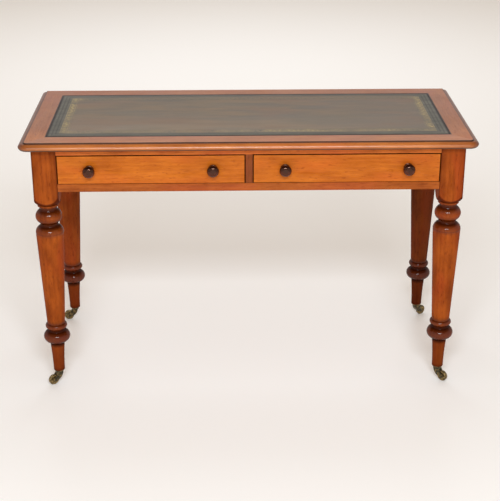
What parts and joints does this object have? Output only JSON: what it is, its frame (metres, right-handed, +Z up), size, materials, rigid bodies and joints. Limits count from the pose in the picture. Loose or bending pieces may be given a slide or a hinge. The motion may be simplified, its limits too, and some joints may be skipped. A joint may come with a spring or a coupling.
{
  "type": "writing desk",
  "caption": "Writing table with a tooled leather inset, a moulded edge, two frieze drawers with turned knobs, and turned tapering legs on small swivelling castors.",
  "frame": {"origin": "on the floor under the middle of the top", "axes": "+Z up, +X along the length to the sitter's right, -Y towards the sitter, where the drawers open"},
  "size_m": [1.22, 0.52, 0.74],
  "materials": {
    "mahogany_top": "polished",
    "mahogany_leg": "polished",
    "mahogany_rail": "polished",
    "mahogany_drawer": "polished",
    "dark_knob": "polished",
    "carcass_wood": "matt",
    "drawer_lining": "matt",
    "tooled_leather": "satin",
    "aged_brass": "worn",
    "steel_screw": "plain"
  },
  "bodies": {
    "carcass": {"top_front_border": "mahogany_top", "top_back_border": "mahogany_top", "top_left_border": "mahogany_top", "top_right_border": "mahogany_top", "top_panel": "carcass_wood", "back_rail": "carcass_wood", "left_runner": "carcass_wood", "centre_runner": "carcass_wood", "right_runner": "carcass_wood", "left_guide": "carcass_wood", "centre_guide": "carcass_wood", "right_guide": "carcass_wood", "left_kicker": "carcass_wood", "centre_kicker": "carcass_wood", "right_kicker": "carcass_wood", "drawer_stops": "carcass_wood", "glue_blocks": "carcass_wood", "leather_inset": "tooled_leather", "top_screws": "steel_screw", "leg_front_left": "mahogany_leg", "leg_front_right": "mahogany_leg", "leg_back_left": "mahogany_leg", "leg_back_right": "mahogany_leg", "left_side_rail": "mahogany_rail", "right_side_rail": "mahogany_rail", "front_top_rail": "mahogany_rail", "front_bottom_rail": "mahogany_rail", "drawer_divider": "mahogany_rail", "castor_plate_front_left": "aged_brass", "castor_plate_front_right": "aged_brass", "castor_plate_back_left": "aged_brass", "castor_plate_back_right": "aged_brass"},
    "left_drawer": {"left_drawer_front": "mahogany_drawer", "left_drawer_left_side": "drawer_lining", "left_drawer_right_side": "drawer_lining", "left_drawer_back": "drawer_lining", "left_drawer_bottom": "drawer_lining", "left_drawer_left_knob": "dark_knob", "left_drawer_right_knob": "dark_knob"},
    "right_drawer": {"right_drawer_front": "mahogany_drawer", "right_drawer_left_side": "drawer_lining", "right_drawer_right_side": "drawer_lining", "right_drawer_back": "drawer_lining", "right_drawer_bottom": "drawer_lining", "right_drawer_left_knob": "dark_knob", "right_drawer_right_knob": "dark_knob"},
    "castor_swivel_front_left": {"castor_horn_front_left": "aged_brass", "castor_axle_front_left": "aged_brass"},
    "castor_wheel_body_front_left": {"castor_wheel_front_left": "aged_brass"},
    "castor_swivel_front_right": {"castor_horn_front_right": "aged_brass", "castor_axle_front_right": "aged_brass"},
    "castor_wheel_body_front_right": {"castor_wheel_front_right": "aged_brass"},
    "castor_swivel_back_left": {"castor_horn_back_left": "aged_brass", "castor_axle_back_left": "aged_brass"},
    "castor_wheel_body_back_left": {"castor_wheel_back_left": "aged_brass"},
    "castor_swivel_back_right": {"castor_horn_back_right": "aged_brass", "castor_axle_back_right": "aged_brass"},
    "castor_wheel_body_back_right": {"castor_wheel_back_right": "aged_brass"}
  },
  "joints": [
    {"name": "left_drawer_slide", "type": "slide", "parent": "carcass", "child": "left_drawer", "axis": [0, -1, 0], "range_m": [0, 0.35]},
    {"name": "right_drawer_slide", "type": "slide", "parent": "carcass", "child": "right_drawer", "axis": [0, -1, 0], "range_m": [0, 0.35]},
    {"name": "castor_swivel_front_left", "type": "hinge", "parent": "carcass", "child": "castor_swivel_front_left", "pos_m": [-0.5465, -0.1965, 0.038], "axis": [0, 0, 1], "continuous": true},
    {"name": "castor_roll_front_left", "type": "hinge", "parent": "castor_swivel_front_left", "child": "castor_wheel_body_front_left", "pos_m": [-0.56288, -0.20797, 0.015], "axis": [0.5736, -0.8192, 0], "continuous": true},
    {"name": "castor_swivel_front_right", "type": "hinge", "parent": "carcass", "child": "castor_swivel_front_right", "pos_m": [0.5465, -0.1965, 0.038], "axis": [0, 0, 1], "continuous": true},
    {"name": "castor_roll_front_right", "type": "hinge", "parent": "castor_swivel_front_right", "child": "castor_wheel_body_front_right", "pos_m": [0.56064, -0.21064, 0.015], "axis": [0.7071, 0.7071, 0], "continuous": true},
    {"name": "castor_swivel_back_left", "type": "hinge", "parent": "carcass", "child": "castor_swivel_back_left", "pos_m": [-0.5465, 0.2165, 0.038], "axis": [0, 0, 1], "continuous": true},
    {"name": "castor_roll_back_left", "type": "hinge", "parent": "castor_swivel_back_left", "child": "castor_wheel_body_back_left", "pos_m": [-0.56649, 0.2158, 0.015], "axis": [0.0349, -0.9994, 0], "continuous": true},
    {"name": "castor_swivel_back_right", "type": "hinge", "parent": "carcass", "child": "castor_swivel_back_right", "pos_m": [0.5465, 0.2165, 0.038], "axis": [0, 0, 1], "continuous": true},
    {"name": "castor_roll_back_right", "type": "hinge", "parent": "castor_swivel_back_right", "child": "castor_wheel_body_back_right", "pos_m": [0.56288, 0.22797, 0.015], "axis": [-0.5736, 0.8192, 0], "continuous": true}
  ]
}
